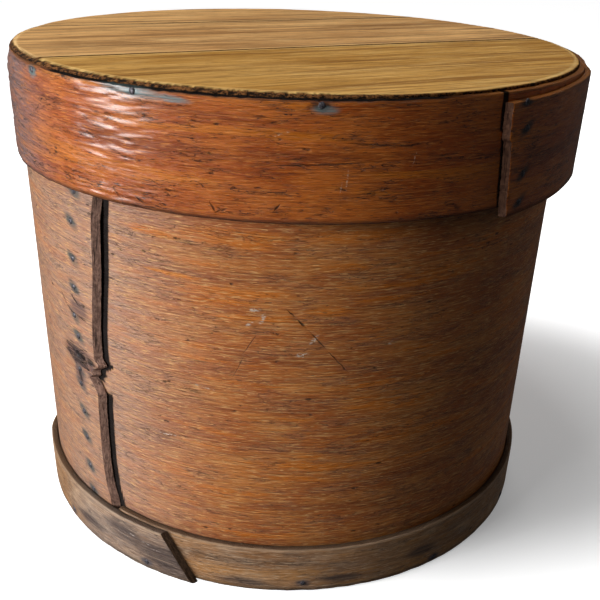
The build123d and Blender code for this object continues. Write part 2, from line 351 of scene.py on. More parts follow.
def band(strip, foot, height, levels, pitch, rounds, outline, lap, bevel, carve, mark, seed,
         spring=(0.0, 0.0, 0.0)):
    """A bent strip as a closed form, carved and marked by functions of the place on it."""
    form = Form(strip.turned < 0)
    levels = levels[(levels > max(rounds)) & (levels < height - max(rounds))]
    deep, up = section(levels, height, strip.thick, *rounds)
    phi, deep = np.meshgrid(columns(strip, pitch), deep, indexing="ij")
    up = np.broadcast_to(up, phi.shape)
    cut = np.interp(up / height, *zip(*outline)) * lap + bevel * deep
    cut += 0.0006 * np.abs(layered(up / 0.0022, deep * 1.5, seed))
    last = strip.end + FULL
    share = ease(1 - np.radians(last - phi) * strip.radius / FINE_REACH)
    phi = phi - np.degrees(cut / (strip.radius + strip.rise)) * share
    along = np.radians(phi) * strip.radius
    inner, outer = strip.inside(phi), strip.outside(phi)
    inwards, sunk = carve(along, up, deep)
    radius = inner + (outer - inner) * deep - inwards * deep + sprung(strip, phi, up, *spring)
    x, y = around(radius, strip.turned * phi)
    points = np.stack([x, y, foot + up - strip.fall(phi) + sunk], -1)
    place = np.stack([along, up, deep], -1)
    numbers = form.add(points, place, mark(along, up, deep))
    form.quads(numbers, looped=True)
    half = numbers.shape[1] // 2
    for ends, order in ((numbers[-1], 1), (numbers[0], -1)):
        form.quads(np.stack([ends[:half], ends[half:][::-1]])[::order], 1, True)
    return form


def spaced(*stretches):
    """Heights over stretches of (from, to, spacing)."""
    return np.concatenate([np.arange(low, high, step) for low, high, step in stretches])


def frayed(along, up, height, seed, low=0.0004, high=0.0005):
    """How far the top edge of a strip is worn down, and its foot worn up."""
    wear = np.abs(layered(along / 0.018, 0.0, seed)) * 0.7
    wear = wear + np.abs(layered(along / 0.004, 0.0, seed + 7)) * 0.5
    return low * wear * ease(1 - up / 0.008) - high * wear * ease(1 - (height - up) / 0.01)


def signed(angle):
    """The same angle, from -180 to 180."""
    return (angle + FULL / 2) % FULL - FULL / 2


def angle_of(strip, along):
    """The angle about the axis of a length along a strip."""
    return signed(strip.turned * np.degrees(along / strip.radius))


def carve_lid(along, up, deep):
    """Ripples of the cracked finish, strongest at the front left, and a worn rim."""
    turned = angle_of(lid, along)
    strong = 0.22 + 0.78 * between(turned, -95, 22, -12, 26)
    strong = strong + 0.35 * ease(layered(along / 0.12, 0.0, 31))
    bend = 0.0016 * noise2(along / 0.03, up / 0.02, 41)
    ridge = np.abs(layered(along / 0.018, (up + bend - along * 0.05) / 0.0021, 43, 2))
    waves = RIPPLE_DEPTH * strong * (1 - ease(ridge / 0.5))
    broad = 0.00055 * swells(along / 0.09, up / 0.05, 47, 2)
    left = between(turned, -150, 40, -48, 22)
    shoulder = SHOULDER_DEPTH * left * ease((up - LID_HEIGHT + 0.016) / 0.016) ** 2
    at_rim = ease((up - LID_HEIGHT + 0.002) / 0.002)
    chewed = between(turned, -48, 12, 38, 30) * at_rim
    crumb = CRUMB_DEPTH * chewed * np.abs(layered(along / 0.0034, deep * 1.6, 57, 2))
    return waves + broad + shoulder, frayed(along, up, LID_HEIGHT, 53) - crumb


def torn_patch(along, up):
    """Where the side band's end is torn, from 0 to 1: a slanting patch behind its notch."""
    run, rise = along - side.along(TORN_ANGLE), up - TORN_HEIGHT
    lean = math.radians(TORN_TILT)
    length = run * math.cos(lean) + rise * math.sin(lean)
    width = rise * math.cos(lean) - run * math.sin(lean)
    return np.exp(-(length / TORN_LENGTH) ** 2 - (width / TORN_WIDTH) ** 2)


def carve_side(along, up, deep):
    """Low swells left by the bending, and fine furrows along the grain."""
    broad = 0.0006 * swells(along / 0.11, up / 0.07, 61, 2)
    furrow = 0.00016 * swells(along / 0.05, up / 0.006, 67, 2)
    torn = torn_patch(along, up) * (0.4 + np.abs(layered(along / 0.006, up / 0.0028, 73)))
    return broad + furrow + TEAR_DEPTH * np.clip(torn, 0, 1), frayed(along, up, SIDE_TOP, 71)


def carve_hoop(along, up, deep):
    """A knocked strip: dents along it and a chewed foot."""
    broad = 0.0005 * swells(along / 0.07, up / 0.03, 83, 2)
    dents = 0.0005 * ease((layered(along / 0.013, up / 0.008, 89) - 0.2) / 0.5)
    return broad + dents, frayed(along, up, HOOP_TOP, 97, low=0.001, high=0.0006)


def seam_shade(strip, outline, lap, height, along, up, reach):
    """Painted shadow on the lower layer, just beyond the outer end that lies on it."""
    cut = np.interp(up / height, *zip(*outline)) * lap
    edge = strip.end - np.degrees(cut / (strip.radius + strip.rise))
    beyond = along - np.radians(edge) * strip.radius
    return between(beyond, -0.003, 0.001, reach, 0.0007)


def mark_lid(along, up, deep):
    """Pale wear; darker along the foot, grime on the chewed rim and a painted shadow beside the end;
    weathered wood with a painted sheen at the left.
    """
    turned = angle_of(lid, along)
    # the left-hand stretch: weathered wood with a painted sheen
    faded = between(turned, -130, 30, -38, 26)
    rim = between(deep, 0.02, 0.05, 0.999, 0.05) + ease((up - LID_HEIGHT + 0.001) / 0.001)
    pale = rim * (0.6 + 0.5 * layered(along / 0.014, 0.0, 101)) * ease((up - 0.02) / 0.02)
    # painted shadow in the thin gap beside the lid band's end
    shade = seam_shade(lid, LID_END_SHARES, LID_LAP, LID_HEIGHT, along, up, 0.0022)
    chewed = rim * between(turned, -50, 10, 40, 30)
    arris = between(turned, -48, 3, -33, 3) * ease((up - LID_HEIGHT + 0.0024) / 0.001)
    pale = np.maximum(pale * (1 - chewed), arris * (up < LID_HEIGHT - 0.0004))
    dirt_and_shade = np.maximum.reduce([ease(1 - up / 0.004) * 0.7, shade, chewed * 0.85])
    return np.stack([np.clip(pale, 0, 1), dirt_and_shade, faded], -1)


def mark_side(along, up, deep):
    """Pale wear; painted shade under the lid on the right and just above the hoop, and a painted
    shadow beside the end; weathered wood with a painted sheen at the left.
    """
    turned = angle_of(side, along)
    right = ease((turned - 8) / 30)
    # painted shade under the lid's overhang, on the right-hand side
    painted_shade_under_lid = between(up, 0.236, 0.02, 0.262, 0.01) * 0.5 * right
    # painted shade in the corner just above the hoop
    painted_shade_over_hoop = ease(1 - (up - HOOP_TOP) / 0.008) * 0.3
    # painted shadow beside the side band's end, left out where the notch lets light onto the lower
    # layer
    shade = seam_shade(side, SIDE_END_SHARES, SIDE_LAP, SIDE_TOP, along, up, 0.005)
    shade = shade * (1 - between(up, NOTCH_FOOT, 0.002, NOTCH_TOP, 0.002))
    dirt_and_shade = np.maximum.reduce([painted_shade_under_lid, painted_shade_over_hoop, shade])
    pale = ease((up - SIDE_TOP + 0.002) / 0.002) * 0.5
    # weathered wood with a painted sheen: round the left, on the far-left lap, and from the seam
    # towards the front
    faded = np.maximum.reduce([
        between(turned, -150, 30, -50, 24), (along > side.along(-78.0)) * 0.75,
        0.8 * between(turned, -60, 4, -6, 34)])
    return np.stack([pale, dirt_and_shade, faded], -1)


def mark_hoop(along, up, deep):
    """Pale wear; darker in patches along the foot, and painted shade on the ledge beside the side
    band; weathered wood with a painted sheen on the left-hand lap.
    """
    foot = ease(1 - up / 0.006) * (0.45 + 0.55 * layered(along / 0.012, 0.0, 107))
    # painted shade that the side band casts on the hoop's ledge
    painted_shade_on_ledge = ease((up - HOOP_TOP + 0.0012) / 0.001) * ease((0.97 - deep) / 0.25) * 0.78
    dirt_and_shade = np.clip(np.maximum(foot, painted_shade_on_ledge), 0, 1)
    edge = ease((up - HOOP_TOP + 0.0016) / 0.0008) * ease((deep - 0.82) / 0.1)
    pale = np.maximum(edge * 0.5, ease((layered(along / 0.02, up / 0.01, 109) - 0.25) / 0.4) * 0.4)
    # the left-hand lap: weathered wood with a painted sheen
    faded = ease((along - hoop.along(-60.0)) / 0.05)
    return np.stack([pale, dirt_and_shade, faded], -1)


def board_outline(radius, low, high, inset):
    """A board's outline in plan, drawn in by an inset: X along the grain, Y across it."""
    inner = radius - inset
    arc_count = int(2.6 * (min(high, radius) - max(low, -radius)) / BOARD_PITCH)
    low_turn = math.asin((low + inset) / inner) if low > -radius else -math.pi / 2
    high_turn = math.asin((high - inset) / inner) if high < radius else math.pi / 2
    stretches = []
    for start, end, has_seam, seam in (
        (low_turn, high_turn, high < radius, high - inset),
        (math.pi - high_turn, math.pi - low_turn, low > -radius, low + inset),
    ):
        turns = np.linspace(start, end, arc_count, endpoint=False)
        stretches.append(inner * np.stack([np.cos(turns), np.sin(turns)], -1))
        if has_seam:
            reach = inner * math.cos(end)
            x = np.linspace(reach, -reach, int(radius / BOARD_PITCH), endpoint=False)
            stretches.append(np.stack([x, np.full(x.shape, seam)], -1))
    return np.concatenate(stretches)


def board(radius, low, high, foot, top, arris, rings, carve, mark, seed):
    """One board as a closed form of rings, from the middle of its top to that of its bottom."""
    form = Form()
    turn = math.radians(GRAIN_ANGLE)
    middle = np.array([0.0, (max(low, -radius) + min(high, radius)) / 2])
    curve = np.radians([90.0, 67.5, 45.0, 22.5, 0.0])
    edge = [(arris * (1 - math.cos(t)), top - arris * (1 - math.sin(t))) for t in curve]
    inner = [(inset, top) for inset in (0.006, 0.0042, 0.0028, 0.0018) if inset > arris]
    wall = [(0.0, foot + (top - foot) * share) for share in (0.66, 0.33)]
    profile = inner + edge + wall + [(0.0, foot + 0.0004), (0.0004, foot)]
    rows = []
    start = board_outline(radius, low, high, inner[0][0])
    for shrink in (1 - np.arange(rings) / rings)[::-1][:-1]:
        rows.append((middle + (start - middle) * shrink, top, inner[0][0] + 0.05 * (1 - shrink)))
    for inset, up in profile:
        rows.append((board_outline(radius, low, high, inset), up, inset))
    under = board_outline(radius, low, high, 0.0004)
    for shrink in (0.97, 0.8, 0.6, 0.4, 0.2):
        rows.append((middle + (under - middle) * shrink, foot, 0.01))
    plan = np.stack([row[0] for row in rows])
    up = np.stack([np.full(len(row[0]), row[1]) for row in rows])
    inset = np.stack([np.full(len(row[0]), row[2]) for row in rows])
    plan, sunk = carve(plan, up, inset, seed)
    points = np.stack([
        plan[..., 0] * math.cos(turn) - plan[..., 1] * math.sin(turn),
        plan[..., 0] * math.sin(turn) + plan[..., 1] * math.cos(turn), up - sunk], -1)
    place = np.stack([plan[..., 0], plan[..., 1] + 0.37 * seed, up - foot], -1)
    form.close_rings(points, place, mark(plan, up, inset, seed))
    return form


def crumbled(plan):
    """The angle, the depth from the rim, and how worn the rim is: most at the front left."""
    angle = signed(np.degrees(np.arctan2(plan[..., 0], -plan[..., 1])) + GRAIN_ANGLE)
    worn = np.maximum(between(angle, -82, 22, 34, 34), 0.25 + 0.25 * layered(angle / 16, 0.0, 140))
    return angle, LID_RADIUS - FIT_GAP - np.hypot(plan[..., 0], plan[..., 1]), worn


def carve_lid_board(plan, up, inset, seed):
    """Plane marks along the grain, a hollowed face and a crumbling sawn rim."""
    x, y = plan[..., 0], plan[..., 1]
    on_top = ease((up - LID_TOP + 0.003) / 0.002)
    marks = 0.00012 * swells(x / 0.09, y / 0.004, 120 + seed)
    swell = 0.0004 * swells(x / 0.14, y / 0.05, 130 + seed, 2)
    angle, inwards, worn = crumbled(plan)
    slope = worn * 0.0013 * ease((0.0042 - inwards) / 0.0042)
    crumb = np.abs(layered(angle * LID_RADIUS / 0.09, inwards / 0.0012 + up / 0.0016, 150))
    rim = ease((0.004 - inwards) / 0.0012)
    drawn = 1 - rim * 0.0005 * crumb / np.maximum(np.hypot(x, y), 0.05)
    return plan * drawn[..., None], on_top * (marks + swell + slope + rim * 0.0006 * crumb * worn)


def carve_base_board(plan, up, inset, seed):
    """Plane marks along the grain of a bottom board."""
    marks = 0.0002 * swells(plan[..., 0] / 0.09, plan[..., 1] / 0.006, 160 + seed)
    return plan, marks * ease((up - BASE_TOP + 0.003) / 0.002)


def mark_lid_board(plan, up, inset, seed):
    """Pale worn arrises, a dark crumbling rim and dark seams; every face below the top is darkened as
    well, for sawn wood and for painted shade in the gap round the board.
    """
    _, inwards, worn = crumbled(plan)
    reach = 0.0002 + 0.003 * worn
    rim = ease((reach - inwards) / 0.0005)
    # every face below the top: sawn wood, and painted shade in the gap round the board
    below = ease((LID_TOP - 0.0003 - up) / 0.0003)
    arris = ease(1 - np.abs(inwards - reach - 0.0008) / 0.001)
    off_rim = ease((inwards - 0.002) / 0.001)
    seam = ease(1 - np.abs(inset - 0.0026) / 0.0016) * off_rim
    groove = ease((0.0014 - inset) / 0.0004) * off_rim
    patchy = 0.65 + 0.35 * layered(plan[..., 0] / 0.02, plan[..., 1] / 0.02, 170 + seed)
    pale = np.maximum(arris, seam) * patchy * (1 - below)
    return np.stack([pale, np.maximum.reduce([rim, below, groove]), np.zeros(up.shape)], -1)


def mark_base_board(plan, up, inset, seed):
    """A little grime along the seams."""
    return np.stack([np.zeros(up.shape), ease(1 - inset / 0.004) * 0.6, np.zeros(up.shape)], -1)


def tuned(red, green, blue):
    """A colour as it is seen, in parts of 255, turned into what the shaders take."""
    seen = np.array([red, green, blue]) / 255
    linear = np.where(seen <= 0.04045, seen / 12.92, ((seen + 0.055) / 1.055) ** 2.4)
    return (*linear.tolist(), 1.0)


def toned(**seen):
    """Named colours, each given as it is seen."""
    return {name: tuned(*colour) for name, colour in seen.items()}


class Paint:
    """A material, or a world, made of nodes, with its tones and its colour so far."""

    def __init__(self, name, tones=(), base="mid", store=bpy.data.materials):
        self.tones, self.colour = tones, tones[base] if tones else None
        self.material = store.new(name)
        self.material.use_nodes = True
        self.tree = self.material.node_tree
        self.tree.nodes.clear()

    def add(self, kind, inputs, **settings):
        node = self.tree.nodes.new("ShaderNode" + kind)
        for key, value in settings.items():
            setattr(node, key, value)
        for key, value in inputs.items():
            if isinstance(value, bpy.types.NodeSocket):
                self.tree.links.new(value, node.inputs[key])
            else:
                node.inputs[key].default_value = value
        return node

    def value(self, name):
        return self.add("Attribute", {}, attribute_name=name).outputs["Vector"]

    def parts(self, vector):
        return self.add("SeparateXYZ", {0: vector}).outputs

    def sum_of(self, operation, *values):
        return self.add("Math", dict(enumerate(values)), operation=operation).outputs[0]

    def times(self, *values):
        total = values[0]
        for value in values[1:]:
            total = self.sum_of("MULTIPLY", total, value)
        return total

    def noise(self, place, sizes, detail=3.0, rough=0.5, twist=0.0):
        """Noise from 0 to 1, whose features have these sizes along the three axes."""
        scaled = self.add("Mapping", {"Vector": place, "Scale": [1 / size for size in sizes]})
        inputs = {"Vector": scaled.outputs[0], "Scale": 1.0, "Detail": detail,
                  "Roughness": rough, "Distortion": twist}
        return self.add("TexNoise", inputs).outputs[0]

    def shifted(self, place, offset):
        return self.add("VectorMath", {0: place, 1: offset}, operation="ADD").outputs[0]

    def step(self, value, low, high, start=0.0, end=1.0):
        """A smooth step as a value goes from low to high."""
        inputs = {"Value": value, "From Min": low, "From Max": high, "To Min": start, "To Max": end}
        return self.add("MapRange", inputs, interpolation_type="SMOOTHSTEP").outputs[0]

    def blend(self, share, low, high):
        return self.add("Mix", {0: share, 6: low, 7: high}, data_type="RGBA").outputs[2]

    def lay(self, share, tone):
        """One of the tones over the colour so far."""
        self.colour = self.blend(share, self.colour, self.tones[tone])

    def layers(self, *rows):
        """Tones over the colour, each where a value goes from low to high, up to a share."""
        for value, low, high, most, tone in rows:
            self.lay(self.step(value, low, high, 0.0, most), tone)

    def away(self, place, centre, reach, tilt=0.0):
        """How far a place is from a centre, as a share of the reach along the axes."""
        inputs = {"Vector": place, "Location": centre, "Scale": reach,
                  "Rotation": (0.0, 0.0, math.radians(tilt))}
        local = self.add("Mapping", inputs, vector_type="TEXTURE").outputs[0]
        return self.add("VectorMath", {0: local}, operation="LENGTH").outputs[1]

    def spots(self, ellipses, wobble=0.0012):
        """Soft ellipses at (along, up, tilt, half length, half width), as one mask."""
        place = self.value("place")
        noise = self.add("TexNoise", {"Vector": place, "Scale": 0.5 / wobble, "Detail": 3.0})
        centred = self.shifted(noise.outputs[1], (-0.5, -0.5, -0.5))
        moved = self.add("VectorMath", {0: centred, 1: (wobble, wobble, 0.0), 2: place},
                         operation="MULTIPLY_ADD").outputs[0]
        total = 0.0
        for along, up, tilt, half_length, half_width in ellipses:
            away = self.away(moved, (along, up, 0.0), (half_length, half_width, 100.0), tilt)
            total = self.sum_of("MAXIMUM", total, self.step(away, 1.0, 0.35))
        return total

    def marked(self, tone, ellipses, stepped, wobble=0.0012):
        """Lays a tone where marks are, as strong as a stepped value, and returns its mask."""
        if not ellipses:
            return 0.0
        mask = self.times(self.spots(ellipses, wobble), self.step(*stepped))
        self.lay(mask, tone)
        return mask

    def finish(self, rough, height, depth, **fixed):
        """Joins the colour, a roughness and a height to the shader; fixed holds its constants."""
        bump = self.add("Bump", {"Height": height, "Distance": depth, "Strength": 1.0})
        inputs = {"Base Color": self.colour, "Roughness": rough, "Normal": bump.outputs[0]}
        inputs.update({key.replace("_", " "): value for key, value in fixed.items()})
        shader = self.add("BsdfPrincipled", inputs)
        self.add("OutputMaterial", {"Surface": shader.outputs[0]})
        return self.material


def bent_wood(name, tones, shift, gloss, coat, veined, stains, scratches=(), cracks=(), blooms=(),
              painted_light_spots=(), golds=()):
    """A bent strip's wood: fibres along it, darker streaks, patches, pits, wear and stains."""
    paint = Paint(name, tones)
    place = paint.shifted(paint.value("place"), (shift, shift, shift))
    # the marks: pale wear, grime with painted shade, and weathered wood with a painted sheen
    pale, dirt_and_shade, faded = paint.parts(paint.value("signs"))
    fibres = paint.noise(place, (0.0085, 0.0008, 0.004), 2.0, 0.6)
    ticks = paint.noise(place, (0.0052, 0.0012, 0.004), 1.0, 0.5)
    strands = paint.noise(place, (0.032, 0.0013, 0.01), 4.0, 0.66, 0.08)
    bands = paint.noise(place, (0.13, 0.0105, 0.03), 4.0, 0.58, 0.25)
    patches = paint.noise(place, (0.05, 0.022, 0.02), 4.0, 0.6)
    weather = paint.noise(place, (0.04, 0.008, 0.02), 6.0, 0.72)
    grime = paint.noise(place, (0.012, 0.007, 0.005), 5.0, 0.7)
    veins = paint.noise(place, (0.013, 0.0026, 0.005), 3.0, 0.6, 0.6)
    paint.layers((patches, 0.38, 0.62, 1.0, "light"), (bands, 0.46, 0.4, 0.75, "gold"),
                 (bands, 0.54, 0.66, 0.6, "dark"), (weather, 0.48, 0.6, 0.4, "grey"))
    # weathered wood with a painted sheen, where the marks ask for it
    paint.lay(paint.times(faded, paint.step(weather, 0.36, 0.6, 0.65, 1.0)), "faded")
    paint.marked("gold", golds, (strands, 0.62, 0.4, 0.3, 1.0), 0.003)
    paint.layers((strands, 0.52, 0.68, 0.35, "dark"), (strands, 0.47, 0.34, 0.35, "pale"),
                 (fibres, 0.55, 0.7, 0.45, "deep"), (fibres, 0.45, 0.32, 0.65, "pale"),
                 (ticks, 0.69, 0.76, 0.8, "deep"), (ticks, 0.33, 0.24, 0.7, "pale"))
    off_vein = paint.sum_of("ABSOLUTE", paint.sum_of("SUBTRACT", veins, 0.5))
    hair = paint.times(paint.step(off_vein, 0.022, 0.005), paint.step(weather, 0.49, 0.6), veined)
    pits_place = paint.add("Mapping", {"Vector": place, "Scale": (70.0, 190.0, 0.0)}).outputs[0]
    pit = paint.add("TexVoronoi", {"Vector": pits_place, "Scale": 1.0}).outputs[0]
    pits = paint.times(paint.step(pit, 0.2, 0.08), paint.step(grime, 0.54, 0.6))
    paint.lay(paint.times(pale, paint.step(grime, 0.3, 0.6, 0.35, 1.0)), "pale")
    paint.marked("stain", stains, (weather, 0.3, 0.6, 0.45, 0.95))
    # the dark tone: grime in patches, and at full strength where the marks carry painted shade and
    # painted shadow
    darkness = paint.sum_of("MAXIMUM", paint.step(grime, 0.2, 0.5, 0.6, 1.0),
                         paint.step(dirt_and_shade, 0.9, 1.0))
    paint.lay(paint.times(dirt_and_shade, darkness), "soil")
    flaws = paint.sum_of("MAXIMUM", paint.times(pits, 0.8), hair)
    paint.lay(flaws, "soil")
    height = paint.sum_of("MULTIPLY_ADD", fibres, 0.6, strands)
    height = paint.sum_of("SUBTRACT", height, paint.times(flaws, 0.6))
    paint.marked("bloom", blooms, (strands, 0.3, 0.6, 0.425, 0.85))
    crumbs = paint.noise(place, (0.0022, 0.0011, 0.002), 2.0, 0.6)
    paint.marked("chalk", scratches, (crumbs, 0.46, 0.58, 0.0, 0.8))
    crack = paint.marked("soil", cracks, (grime, 0.36, 0.56, 0.2, 0.8))
    height = paint.sum_of("SUBTRACT", height, paint.times(crack, 1.25))
    # painted light: paler spots where light falls onto the lower layer through the notch
    if painted_light_spots:
        paint.lay(paint.spots(painted_light_spots), "pale")
    rough = paint.step(grime, 0.3, 0.7, gloss, gloss + 0.2)
    rough = paint.sum_of("MULTIPLY_ADD", dirt_and_shade, 0.5, rough)
    clean = paint.sum_of("SUBTRACT", 1.0, dirt_and_shade)
    return paint.finish(rough, height, 0.0014, Specular_IOR_Level=0.5,
                        Coat_Weight=paint.times(clean, coat), Coat_Roughness=0.27)


def board_wood(name, tones, gloss):
    """A board's wood: straight grain, fine scratches, worn arrises and a rough sawn rim."""
    paint = Paint(name, tones)
    place = paint.value("place")
    pale, dirt_and_shade, _ = paint.parts(paint.value("signs"))
    fibres = paint.noise(place, (0.012, 0.0012, 0.003), 3.0, 0.6)
    grain = paint.noise(place, (0.22, 0.009, 0.01), 5.0, 0.65, 0.5)
    rays = paint.noise(place, (0.05, 0.0019, 0.006), 4.0, 0.65)
    patches = paint.noise(place, (0.12, 0.04, 0.03), 4.0, 0.6)
    grime = paint.noise(place, (0.016, 0.008, 0.004), 5.0, 0.7)
    tilted = paint.add("Mapping", {"Vector": place, "Rotation": (0.0, 0.0, 0.22)}).outputs[0]
    lines = paint.noise(tilted, (0.035, 0.0015, 0.01), 2.0, 0.4)
    paint.layers((patches, 0.36, 0.64, 1.0, "light"), (grain, 0.44, 0.62, 0.8, "dark"),
                 (rays, 0.52, 0.66, 0.45, "deep"), (rays, 0.46, 0.32, 0.65, "pale"),
                 (fibres, 0.56, 0.68, 0.5, "deep"), (lines, 0.68, 0.78, 0.15, "deep"),
                 (lines, 0.3, 0.22, 0.35, "pale"))
    paint.lay(paint.times(pale, paint.step(grime, 0.3, 0.55, 0.3, 1.0)), "pale")
    saw = paint.noise(place, (0.0022, 0.0022, 0.0015), 4.0, 0.7)
    # the sawn rim colour, laid over the darkened faces: sawn edges and grimy seams, and on the lid's
    # boards painted shade in the gap round them
    rim = paint.blend(paint.step(saw, 0.42, 0.62), tones["soil"], tones["sawn"])
    paint.colour = paint.blend(dirt_and_shade, paint.colour, rim)
    height = paint.sum_of("MULTIPLY_ADD", fibres, 0.5, paint.times(rays, 0.7))
    height = paint.sum_of("MULTIPLY_ADD", paint.times(dirt_and_shade, saw), 2.0, height)
    rough = paint.step(grime, 0.3, 0.7, gloss, gloss + 0.2)
    rough = paint.sum_of("MULTIPLY_ADD", dirt_and_shade, 0.4, rough)
    return paint.finish(rough, height, 0.0007, Specular_IOR_Level=0.35)


def end_wood(name, tones):
    """The torn end of a strip, dark with handling."""
    paint = Paint(name, tones, "end")
    place = paint.value("place")
    layers = paint.noise(place, (0.004, 0.003, 0.3), 4.0, 0.7)
    splits = paint.noise(place, (0.004, 0.012, 0.16), 3.0, 0.6)
    paint.layers((layers, 0.35, 0.65, 1.0, "end_light"), (splits, 0.54, 0.66, 0.8, "soil"))
    return paint.finish(paint.step(layers, 0.3, 0.7, 0.55, 0.85), layers, 0.0008,
                        Specular_IOR_Level=0.3)


def iron(name):
    """Old iron: grey-brown, rubbed brighter in places."""
    paint = Paint(name, toned(mid=(54, 50, 54), light=(116, 112, 118)))
    rust = paint.noise(paint.value("place"), (0.0012, 0.0012, 0.0012), 4.0, 0.7)
    paint.layers((rust, 0.35, 0.65, 1.0, "light"))
    return paint.finish(paint.step(rust, 0.35, 0.65, 0.65, 0.4), rust, 0.0002, Metallic=0.5)


# Each strip's greyed pinkish tone stands for weathered wood with a painted sheen on its left-hand
# stretch.
LID_TONES = toned(
    light=(204, 108, 32), mid=(174, 80, 12), dark=(124, 50, 8), deep=(80, 30, 6),
    pale=(224, 140, 66), gold=(212, 118, 20), grey=(152, 80, 38), stain=(42, 42, 42),
    soil=(20, 10, 6), chalk=(226, 196, 168), end=(86, 58, 46), end_light=(118, 84, 66),
    bloom=(116, 140, 142), faded=(150, 126, 124),
)
# The side band's end tones are set lighter than the other strips' ends: painted light on an end face
# that turns away from the lamps.
SIDE_TONES = toned(
    light=(208, 128, 60), mid=(186, 102, 44), dark=(150, 78, 36), deep=(96, 54, 30),
    pale=(244, 190, 124), gold=(222, 122, 22), grey=(178, 116, 80), stain=(84, 90, 88),
    soil=(22, 12, 8), chalk=(232, 222, 208), end=(126, 96, 84), end_light=(172, 136, 118),
    bloom=(98, 76, 76), faded=(176, 146, 130),
)
HOOP_TONES = toned(
    light=(188, 140, 96), mid=(166, 118, 76), dark=(124, 88, 56), deep=(84, 60, 42),
    pale=(222, 190, 158), gold=(200, 142, 82), grey=(164, 140, 120), stain=(74, 74, 84),
    soil=(28, 20, 15), chalk=(208, 196, 188), end=(64, 50, 40), end_light=(108, 86, 68),
    bloom=(74, 60, 58), faded=(152, 130, 116),
)
FRONT_BOARD_TONES = toned(
    light=(212, 162, 88), mid=(188, 136, 64), dark=(148, 100, 46), deep=(100, 68, 30),
    pale=(240, 200, 128), soil=(26, 16, 10), sawn=(128, 84, 46),
)
BACK_BOARD_TONES = toned(
    light=(232, 180, 116), mid=(204, 152, 94), dark=(146, 104, 62), deep=(92, 62, 36),
    pale=(244, 204, 142), soil=(26, 16, 10), sawn=(124, 84, 50),
)
BASE_TONES = toned(
    light=(196, 160, 116), mid=(176, 138, 94), dark=(142, 106, 68), deep=(106, 78, 50),
    pale=(212, 180, 138), soil=(52, 38, 28), sawn=(150, 116, 80),
)

# Marks on the outer layers: angle about the axis, height, tilt, half length, half width, with
# their lengths in millimetres
SIDE_SCRATCHES = (
    (-6.2, 204.5, 5, 4.6, 1.6), (-4.8, 199.5, 70, 5, 1.8), (-7.1, 195.5, 30, 3.4, 1.2),
    (2.5, 177.2, 10, 4.6, 2.2), (4.6, 187.2, 50, 5, 1.6), (-16, 150, -8, 9, 0.6),
    (19.3, 181.8, 20, 2.4, 1.4), (-24, 110, 5, 10, 0.7),
)
SIDE_CRACKS = (
    (0.4, 203.4, -42, 4.4, 0.5), (2.4, 197, -44, 4.4, 0.9), (5.2, 187.2, -49, 9, 0.5),
    (9.2, 172.5, -49, 12, 0.4), (-7, 183, 60, 10, 0.3), (-9.2, 167, 66, 11, 0.2),
    (-50.7, 180.5, -48, 6, 0.6), (-48.4, 175, -24, 6, 0.7), (-44.7, 173.2, -6, 7, 0.6),
    (-43.4, 182.6, -30, 2.8, 1.6), (-46.4, 184, -34, 7, 0.6), (-50.2, 146.8, -8, 8, 1),
    (-46.2, 144.9, -18, 8, 1.6), (-42.8, 144, -14, 6, 2.4), (-46.8, 128.5, -68, 6, 1.6),
)
SIDE_BLOOMS = (
    (-46.4, 142.8, -7, 27, 12), (-45.2, 179, -22, 14, 8), (-47, 129, -66, 12, 7),
    (-42.6, 137, -20, 13, 8),
)
SIDE_GOLDS = (
    (-9, 248, -1, 42, 4.6), (12, 249, 1, 50, 5), (-26, 243, -4, 26, 3), (10, 231, 0, 19, 3.8),
    (7.2, 204.6, 0, 17, 4.2), (-22, 220, -2, 26, 2.4), (-12, 208, 0, 30, 2.6),
    (30, 224, 2, 40, 3.4),
)
# The patch of the lower layer that shows in the notch, painted paler as a pool of light, with its
# lengths in metres
NOTCH_FLOOR = (-41.6, 0.1266, -34, 0.0052, 0.0026)
HOOP_BLOOMS = (
    (-25, 16, -12, 31, 15), (-34, 23, -6, 26, 10), (-46, 13, 0, 22, 6), (-8, 7, 0, 24, 4.4),
    (12, 10, 0, 20, 5), (31, 16, 0, 18, 6),
)
HOOP_SCRATCHES = (
    (-29, 23, -4, 6, 0.7), (-32.5, 25, -8, 4, 0.6), (-26.5, 20, 2, 5, 0.5), (-35, 21.5, -2, 6, 0.6),
)
LID_SCRATCHES = (
    (8.3, 283, 88, 7, 0.6), (7.4, 279, 84, 4, 0.6), (19, 293, 75, 5, 0.5), (-2, 306, 20, 6, 0.5),
)
LID_CRACKS = (
    (5, 291.2, 2.5, 37, 0.4), (-30.2, 265.5, -50, 4, 0.8), (-25.4, 264, -30, 3.6, 0.8),
    (-12.6, 266.2, -60, 3.6, 0.8), (-11.4, 264, 20, 4, 0.8), (-2.4, 268, 50, 3, 0.6),
    (-19.5, 272.2, 0, 5, 0.7), (13, 301, -4, 20, 0.5), (-29, 321.2, 6, 6, 0.6),
    (-40.6, 322.4, 0, 2.4, 1.4),
)
# Round the lid's nails the stains are teal-grey, their tone lightened towards white as a painted
# sheen.
LID_BLOOMS = (
    (-24.6, 320.6, -4, 22, 4), (-19, 319.6, -4, 14, 2.6), (-29, 321.6, 0, 14, 3.4),
    (-50.9, 320, 0, 7, 5), (4.5, 318.5, 0, 9, 3),
)


def on_strip(strip, foot, marks):
    """Marks turned from angles about the axis and millimetres to places along a strip."""
    return [(*strip.spot(angle, up * MM - foot), strip.turned * tilt, long * MM, wide * MM)
            for angle, up, tilt, long, wide in marks]


def stained(places, tilt, long, wide):
    """Stains round fastenings at (angle about the axis, height)."""
    return [(angle, up / MM, tilt, long, wide) for angle, up in places]


